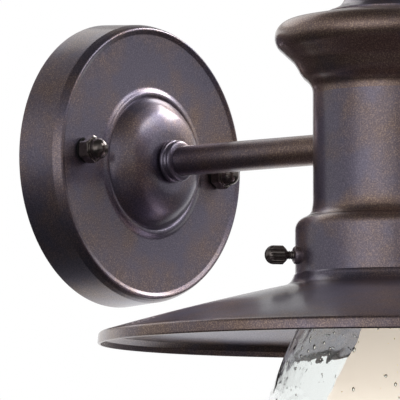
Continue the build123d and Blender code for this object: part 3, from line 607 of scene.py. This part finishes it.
class LANTERN_OT_body(bpy.types.Operator):
    """Spin the body, the flared crown, the stepped cap and the finial."""
    bl_idname = "lantern.body"
    bl_label = "Body and crown"

    def execute(self, context):
        sheet, hole = 1, 5.4
        wall = sizes().body_diameter / 2 / MM
        top, foot = 20.5, ends_of("body_shell", 2)[0]
        shell = [(wall, top), (wall, foot + 12)]
        shell += flowing([(wall, foot + 7.5)] + shifted(BODY_FLARE, 0, foot), (0, -1), (0.9, -0.4), 6)
        shell += [(38.9, foot), (37.6, foot), (wall - 0.2, foot + 2), (wall - sheet, foot + 7),
                  (wall - sheet, top), (wall, top)]
        body = fitted(upright("body_cylinder", shell), "root", "bronze", BRONZE_PAINT, "body_shell")
        rub(body, lambda z: faded((foot + 9 - z) / 6, 0.8))

        rim_centre, rim_round, under, over = (44.9, 44.9), 7.2, -50, 78
        land, seat = 31.0, 55.0
        rim = arc(rim_centre, rim_round, under, over, 22)
        ogee = flowing([(wall, top), *CROWN_OGEE, rim[0]], (0, 1), (0.766, 0.643), 6)
        roof = [(land, seat), (hole, seat), (hole, seat - sheet), (land, seat - sheet)]
        inside = arc(rim_centre, rim_round - sheet, over, under, 14)
        inside += [*CROWN_INSIDE, (wall - sheet, top), (wall, top)]
        crown = upright("crown_flared", ogee[:-1] + rim + roof + inside, steps=200)
        rub(fitted(crown, "root", "bronze", BRONZE_PAINT, "crown"), lambda z: 0.8)

        lip, mouth = 29.9, 27.0
        edge = eased([(mouth, seat, 0), (lip, seat, 0.25), (lip, seat + 1, 0.45), CAP_FLARE[0] + (0,)], 5)
        flare = flowing(CAP_FLARE, (-1, 0.3), (-1, 0), 7)
        inside = [(hole, CAP_FLARE[-1][1]), (hole, CAP_INSIDE[0][1]), *CAP_INSIDE, (mouth, seat)]
        fitted(upright("cap_flared", edge[:-1] + flare + inside), "root", "bronze", BRONZE_PAINT, "top_cap")

        foot, crest = ends_of("finial", 2)
        knob = 9.0
        ball = [(0, foot), (7.4, foot)] + arc((7.0, foot + 1.2), 1.1, -60, 70, 8)
        ball += flowing([(7.2, foot + 2.5), (5.9, foot + 4.8), (6.2, crest - 15.4)], (-1, 0.3), (0.4, 1), 6)
        ball += arc((0, crest - knob), knob, -46, 90, 26)
        fitted(upright("finial_ball", ball, steps=96), "finial", "bronze", BRONZE_PAINT, "finial")
        return {"FINISHED"}


class LANTERN_OT_shade(bpy.types.Operator):
    """Spin the collar that holds the glass and the wide shade under it."""
    bl_idname = "lantern.shade"
    bl_label = "Collar and shade"

    def execute(self, context):
        s = sizes()
        wall, opening, shoulder, sheet = s.collar_diameter / 2 / MM, 25, 5.6, 1.2
        foot, top = ends_of("fitter_collar", 2)
        bend = (wall - shoulder, top - shoulder)
        cup = [(opening, top)] + arc(bend, shoulder, 90, 0, 14) + [(wall, foot), (wall - sheet, foot)]
        cup += arc(bend, shoulder - sheet, 0, 90, 10) + [(opening, top - sheet), (opening, top)]
        collar = upright("collar_cup", cup, steps=200)
        fitted(collar, "root", "bronze", BRONZE_PAINT, "fitter_collar")
        rub(collar, lambda z: faded((z - top + 6) / 4, 0.8))

        lip, hem = s.shade_diameter / 2 / MM, ends_of("shade", 2)[0]
        neck, bow, sleeve, sleeve_inside = wall + 6.2, 0.6, wall - 1.3, wall - 2.3
        fillet = arc((wall + 7.0, foot + 0.9), 6.6, 186, 256, 10)
        fillet = [(wall, foot)] + [(r, h) for r, h in fillet if h < foot and r > wall]
        slope = bowed((neck, foot - 5.5), (lip - 3.2, foot - 24.1), bow, 30)
        edge = eased([slope[-1] + (0,), (lip - 0.4, foot - 25.0, 1.6), (lip, hem + 0.5, 0.4),
                      (lip - 0.5, hem, 0.2), (lip - 1.2, hem, 0)], 5)
        inside = [(lip - 1.2, hem + 2.4), (lip - 3.4, foot - 25.1)]
        inside += bowed((lip - 3.6, foot - 25.2), (neck, foot - 6.5), -bow, 30)[1:]
        inside += [(wall + 1.0, foot - 4.2), (wall - 1.25, foot - 1), (sleeve_inside, foot - 1),
                   (sleeve_inside, foot + 3), (sleeve, foot + 3), (sleeve, foot), (wall, foot)]
        shade = upright("shade_wide", fillet + slope + edge[1:] + inside, steps=240)
        fitted(shade, "root", "bronze", BRONZE_PAINT, "shade")
        rub(shade, lambda z: faded((foot - 23 - z) / 4, 0.4))
        return {"FINISHED"}


class LANTERN_OT_thumbscrews(bpy.types.Operator):
    """Make the knurled thumbscrews and their domed bosses round the collar."""
    bl_idname = "lantern.thumbscrews"
    bl_label = "Thumbscrews"

    def execute(self, context):
        s = sizes()
        wall = s.collar_diameter / 2 / MM
        head, dome, ridges, groove = 4.0, 3.6, 18, 0.90
        slot_length, slot_width, slot_depth = 12, 1.3, 3.6
        low = wall + 5.4
        high = low + 9.2
        # The shank starts a hair clear of its soft tip, with a rolled thread drawn as rings
        glass_neck, glass_gap, tip, hair = 38.8, 0.3, 1.6, 0.05
        start = glass_neck + glass_gap + tip + hair
        pitch, root, crest = 0.794, 1.5, 1.8
        shank = [(0, start)]
        for i in range(int((low - start) / pitch)):
            shank += [(root, start + pitch * i), (crest, start + pitch * (i + 0.5))]
        grip = eased([(1.6, low - 0.4, 0), (crest, low, 0), (2.5, low, 0.2), (head, low + 1.5, 0.3),
                      (head, low + 2.2, 0), (head, high - dome, 0)], 4)
        grip += [(head * cos(a), high - dome + dome * sin(a)) for a in (0.25, 0.5, 0.75, 1.0, 1.25, 1.45)]
        grip.append((0, high))
        steps = ridges * 4
        screw = turned("thumbscrew_left", shank + grip, CENTRE, steps=steps, smooth=40)

        # Grooves between the ridges, where every fourth row of the grip is drawn in, and a slot for a driver
        bpy.ops.object.mode_set(mode="EDIT")
        bpy.ops.mesh.select_all(action="DESELECT")
        bpy.ops.object.mode_set(mode="OBJECT")
        for v in screw.data.vertices:
            row = round(atan2(v.co.y, v.co.x) / (2 * pi / steps)) % 4
            v.select = row == 0 and hypot(v.co.x, v.co.y) > (head - 0.35) * MM
        bpy.ops.object.mode_set(mode="EDIT")
        bpy.ops.transform.resize(value=(groove, groove, 1), center_override=(0, 0, 0))
        bpy.ops.object.mode_set(mode="OBJECT")
        clear_selection()
        bpy.ops.mesh.primitive_cube_add(size=MM, location=(0, 0, high * MM),
                                        scale=(slot_length, slot_width, slot_depth))
        cut(screw, bpy.context.object, "DIFFERENCE")

        bore, girth, back, front = 1.85, 3.9, wall - 1.2, wall + 2.4
        outline = [(bore, back), (girth, back), (girth, wall + 0.4)] + arc((2.5, wall + 0.9), 1.4, 0, 80, 8)
        outline += [(2.4, front), (bore, front), (bore, back)]
        boss = turned("boss_left", outline, CENTRE, steps=40)
        height = (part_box("thumbscrew_1")[0][2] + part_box("thumbscrew_1")[1][2]) / 2
        hub = Matrix.Translation((0, -s.reach, height))
        bosses = []
        # Angle round the collar and turn of the slot, in degrees
        for number, (angle, slot) in enumerate(((144, 12), (264, 75), (24, 40)), 1):
            place = hub @ Matrix.Rotation(radians(angle), 4, "Z") @ Matrix.Rotation(pi / 2, 4, "Y")
            place = place @ Matrix.Rotation(radians(slot), 4, "Z")
            twin = copied(screw, f"thumbscrew_knurled_{number}", place)
            fitted(twin, f"thumbscrew_{number}", "black_hardware", BLACK_OXIDE, f"thumbscrew_{number}")
            bosses.append(copied(boss, f"boss_{number}", place))
        bpy.data.objects.remove(screw)
        bpy.data.objects.remove(boss)
        ring = joined(bosses)
        ring.name = "collar_bosses"
        fitted(ring, "root", "bronze", BRONZE_PAINT, "screw_bosses")
        return {"FINISHED"}


class LANTERN_OT_jar(bpy.types.Operator):
    """Blow the glass jar and fill its wall with seeds."""
    bl_idname = "lantern.jar"
    bl_label = "Glass jar"

    def execute(self, context):
        s = sizes()
        solids = [part["node"] for part in frame["record"]["subparts"]
                  if part["material_slot"] == "seeded_glass"]
        corners = [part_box(node) for node in solids]
        base = min(low[2] for low, high in corners) / MM
        top = max(high[2] for low, high in corners) / MM
        widest = max(high[0] - low[0] for low, high in corners) / 2 / MM
        thick = s.jar_wall / MM
        mouth, lip, neck = 36.4, 41.25, 38.8
        outside = eased([(mouth, top, 0), (lip, top, 1.2), (lip, top - 8.0, 0.8), (neck, top - 10.5, 0.8),
                         JAR_SHOULDER[0] + (0,)], 5)
        outside += flowing([*JAR_SHOULDER, (widest, JAR_WIDEST_HEIGHT), *JAR_HEEL, (35.0, base)],
                           (0, -1), (-1, -0.1), 8)[1:]
        outside += [(20, base + 0.3), (0, base + 0.5)]
        within = flowing([(0, base + thick + 0.5), (33.0, base + thick), *JAR_HEEL_INSIDE,
                          (widest - thick, JAR_WIDEST_HEIGHT), *JAR_SHOULDER_INSIDE], (1, 0), (0, 1), 8)
        within += [(JAR_SHOULDER_INSIDE[-1][0], top - 1), (mouth, top)]
        jar = upright("jar_seeded", outside + within, steps=160, smooth=60)

        # Seeds: flattened air bubbles inside the wall, with their faces turned to the air
        clear_selection()
        bpy.ops.mesh.primitive_ico_sphere_add(subdivisions=1, radius=1, enter_editmode=True)
        bpy.ops.mesh.flip_normals()
        bpy.ops.object.mode_set(mode="OBJECT")
        seed = bpy.context.object
        chance = random.Random(7)
        lowest, highest = base + 5, -44
        wall = [point for point in outside if lowest < point[1] < highest]
        seeds = []
        for i in range(s.seed_count):
            height = chance.uniform(wall[-1][1], wall[0][1])
            lower = next(k for k, point in enumerate(wall) if point[1] <= height)
            (r1, h1), (r2, h2) = wall[max(lower - 1, 0)], wall[max(lower, 1)]
            radius = r1 + (r2 - r1) * (h1 - height) / (h1 - h2) - thick / 2 + chance.uniform(-0.5, 0.5)
            across = s.seed_size * chance.uniform(0.3, 1) ** 1.6
            twin = seed.copy()
            twin.data = seed.data.copy()
            context.collection.objects.link(twin)
            place = Matrix.Translation((0, -s.reach, 0)) @ Matrix.Rotation(chance.uniform(0, 2 * pi), 4, "Z")
            shape = Matrix.Diagonal((across * 0.7, across, across * chance.uniform(1, 1.7), 1))
            twin.matrix_world = place @ Matrix.Translation((radius * MM, 0, height * MM)) @ shape
            seeds.append(twin)
        bpy.data.objects.remove(seed)
        jar = joined([jar] + seeds)
        bpy.ops.object.shade_smooth_by_angle(angle=radians(60))
        fitted(jar, "root", "seeded_glass", "seeded_clear_glass", *solids)
        return {"FINISHED"}


class LANTERN_OT_lamp(bpy.types.Operator):
    """Make the frosted lamp and its threaded cap."""
    bl_idname = "lantern.lamp"
    bl_label = "Lamp"

    def execute(self, context):
        crown, neck = ends_of("lamp_glass", 2)
        globe, skin, collar = 30, 0.9, 13.2
        centre = crown + globe
        waist = centre + 36.8
        bulb = flowing([(collar, neck), (15.9, waist), (25.98, centre + 15)], (0, -1), (0.5, -0.866), 12)
        bulb += arc((0, centre), globe, 30, -90, 40)[1:]
        bulb += [(0, crown + skin)] + arc((0, centre), globe - skin, -90, 30, 30)[1:]
        bulb += [(15.0, waist), (collar - skin, neck), (collar, neck)]
        fitted(upright("lamp_bulb", bulb), "lamp", "frosted_glass", "frosted_lamp_glass", "lamp_glass")

        # Rolled screw thread of 3.63 mm pitch, drawn as rings of ten points each
        foot, top = ends_of("lamp_cap", 2)
        pitch, points, mean, depth = 3.63, 10, 12.55, 0.35
        skirt, bore, tip = 12.25, 11.4, 4.9
        thread = [(skirt, foot), (skirt, foot + 0.5), (12.9, foot + 0.5), (12.9, foot + 2)]
        for i in range(44):
            thread.append((mean - depth * cos(2 * pi * i / points), foot + 2 + pitch * i / points))
        thread += [(12.4, top - 4.4), (5.9, top), (tip, top), (tip, top - 1.0), (bore, top - 4.9),
                   (bore, foot + 1), (12.0, foot + 1), (11.75, foot), (skirt, foot)]
        cap = upright("lamp_cap_threaded", thread, steps=96)
        fitted(cap, "lamp", "lamp_metal", LAMP_CAP_FINISH[0], "lamp_cap")
        return {"FINISHED"}


class LANTERN_OT_hardware(bpy.types.Operator):
    """Give the solids that keep their shape their finishes."""
    bl_idname = "lantern.hardware"
    bl_label = "Hardware finishes"

    def execute(self, context):
        names = {"bronze": BRONZE_PAINT, "black_hardware": BLACK_OXIDE}
        for slot, look in PLAIN_FINISHES.items():
            mottled(*look)
            names[slot] = look[0]
        for part in frame["record"]["subparts"]:
            solid = frame["nodes"].get(part["node"])
            if solid and part["material_slot"] in names:
                for place in solid.material_slots:
                    place.material = bpy.data.materials[names[part["material_slot"]]]
        return {"FINISHED"}


class LANTERN_OT_stage(bpy.types.Operator):
    """Set the pale floor, the studio light, the white surround and the camera."""
    bl_idname = "lantern.stage"
    bl_label = "Studio stage"

    def execute(self, context):
        clear_selection()
        bpy.ops.mesh.primitive_plane_add(size=FLOOR_SIZE, location=FLOOR_PLACE)
        floor = bpy.context.object
        floor.name = "floor"
        # Pale matt paper, left out of reflections so that the metal mirrors the room alone
        paper = bpy.data.materials.new("pale_paper")
        paper.use_nodes = True
        matt = paper.node_tree.nodes["Principled BSDF"]
        matt.inputs["Base Color"].default_value = linear("#F2F1F0")
        matt.inputs["Roughness"].default_value = 0.9
        floor.visible_glossy = False
        floor.data.materials.append(paper)

        world = context.scene.world or bpy.data.worlds.new("studio")
        context.scene.world = world
        world.use_nodes = True
        tree = world.node_tree
        tree.nodes.clear()
        rays = add(tree, "ShaderNodeLightPath").outputs
        way = add(tree, "ShaderNodeTexCoord").outputs["Generated"]
        height = add(tree, "ShaderNodeSeparateXYZ", [("Vector", way)]).outputs["Z"]
        # In reflections a white backdrop stands behind the object, up to a low edge, in a dim room
        ahead = add(tree, "ShaderNodeVectorMath", [(0, way)], [(1, BACKDROP_WAY)], operation="DOT_PRODUCT")
        wide = add(tree, "ShaderNodeMapRange", [("Value", ahead.outputs["Value"])],
                   list(zip(MAP_FROM, BACKDROP_SIDES)), interpolation_type="SMOOTHSTEP")
        high = add(tree, "ShaderNodeMapRange", [("Value", height)], list(zip(MAP_FROM, BACKDROP_EDGE)),
                   interpolation_type="SMOOTHSTEP")
        backdrop = add(tree, "ShaderNodeMath", [(0, wide.outputs["Result"]), (1, high.outputs["Result"])],
                       operation="MULTIPLY")
        mirrored = add(tree, "ShaderNodeMath", [(0, rays["Is Glossy Ray"]), (1, backdrop.outputs[0])],
                       operation="MULTIPLY")
        # Straight on and through the glass all of the surround is white
        through = add(tree, "ShaderNodeMath", [(0, rays["Is Camera Ray"]), (1, rays["Is Transmission Ray"])],
                      operation="MAXIMUM")
        seen = add(tree, "ShaderNodeMath", [(0, through.outputs[0]), (1, mirrored.outputs[0])],
                   operation="MAXIMUM")
        level = add(tree, "ShaderNodeMapRange", [("Value", height)], list(zip(MAP_FROM, (-1, 1))))
        room = add(tree, "ShaderNodeValToRGB", [("Fac", level.outputs["Result"])], stops=ROOM_LIGHT)
        strength = add(tree, "ShaderNodeMath", [(0, seen.outputs[0]), (1, room.outputs["Color"])],
                       operation="MAXIMUM")
        white = add(tree, "ShaderNodeBackground", [("Strength", strength.outputs[0])],
                    [("Color", (1, 1, 1, 1))])
        add(tree, "ShaderNodeOutputWorld", [("Surface", white.outputs[0])])

        for name, place, target, across, tall, power in SOFT_BOXES:
            lamp = bpy.data.lights.new(name, "AREA")
            lamp.shape = "RECTANGLE"
            lamp.size = across
            lamp.size_y = tall
            lamp.energy = power
            lamp.spread = SOFT_BOX_SPREAD
            holder = bpy.data.objects.new(name, lamp)
            context.collection.objects.link(holder)
            holder.location = place
            holder.rotation_euler = (Vector(target) - Vector(place)).to_track_quat("-Z", "Y").to_euler()

        view = bpy.data.cameras.new("photo_view")
        view.sensor_width = CAMERA_SENSOR
        view.lens = CAMERA_LENS
        view.clip_end = CAMERA_FAR
        camera = bpy.data.objects.new("photo_view", view)
        context.collection.objects.link(camera)
        camera.location = CAMERA_PLACE
        camera.rotation_euler = CAMERA_TURN
        context.scene.camera = camera
        context.scene.view_settings.view_transform = "Standard"
        return {"FINISHED"}


STEPS = (LANTERN_OT_finishes, LANTERN_OT_plate, LANTERN_OT_cap_nuts, LANTERN_OT_arm, LANTERN_OT_body,
         LANTERN_OT_shade, LANTERN_OT_thumbscrews, LANTERN_OT_jar, LANTERN_OT_lamp, LANTERN_OT_hardware,
         LANTERN_OT_stage)


class LANTERN_PT_panel(bpy.types.Panel):
    """Lists the lantern's sizes, colours and steps."""
    bl_idname = "LANTERN_PT_panel"
    bl_label = "Wall lantern"
    bl_space_type = "VIEW_3D"
    bl_region_type = "UI"
    bl_category = "Lantern"

    def draw(self, context):
        for group in (context.scene.lantern_sizes, context.scene.lantern_colours):
            for key in group.bl_rna.properties.keys():
                if key not in ("rna_type", "name"):
                    self.layout.prop(group, key)
        for step in STEPS:
            self.layout.operator(step.bl_idname)


CLASSES = (LanternSizes, LanternColours, *STEPS, LANTERN_PT_panel)


def register():
    for kind in CLASSES:
        bpy.utils.register_class(kind)
    bpy.types.Scene.lantern_sizes = bpy.props.PointerProperty(type=LanternSizes)
    bpy.types.Scene.lantern_colours = bpy.props.PointerProperty(type=LanternColours)


def unregister():
    del bpy.types.Scene.lantern_sizes
    del bpy.types.Scene.lantern_colours
    for kind in reversed(CLASSES):
        bpy.utils.unregister_class(kind)


def main():
    register()
    for step in STEPS:
        group, name = step.bl_idname.split(".")
        getattr(getattr(bpy.ops, group), name)()


if __name__ == "__main__":
    main()
